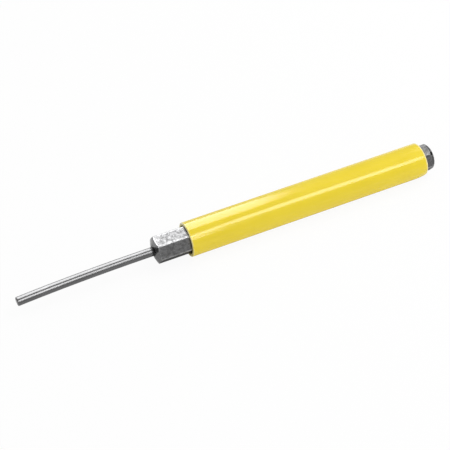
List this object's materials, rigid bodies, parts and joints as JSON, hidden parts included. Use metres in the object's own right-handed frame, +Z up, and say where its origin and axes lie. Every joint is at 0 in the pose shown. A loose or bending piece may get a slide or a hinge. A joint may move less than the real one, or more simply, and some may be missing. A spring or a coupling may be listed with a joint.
{
  "type": "pin punch",
  "caption": "Pin punch with a slim round drive pin, a hexagonal steel stock and a round plastic grip sleeve, for driving pins out of holes.",
  "frame": {"origin": "midway along the tool, under its axis, on the surface that the sleeve lies on", "axes": "+X along the tool towards its struck end, so the working tip is at -X; +Z up from the surface, with a flat of the hexagon facing up"},
  "size_m": [0.1968, 0.0154, 0.0155],
  "materials": {
    "stock_steel": "blasted grey steel with fine mottling",
    "pin_steel": "bright ground steel",
    "sleeve_plastic": "glossy yellow vinyl"
  },
  "bodies": {
    "root": {"hex_stock": "stock_steel", "drive_pin": "pin_steel", "grip_sleeve": "sleeve_plastic"}
  },
  "joints": []
}
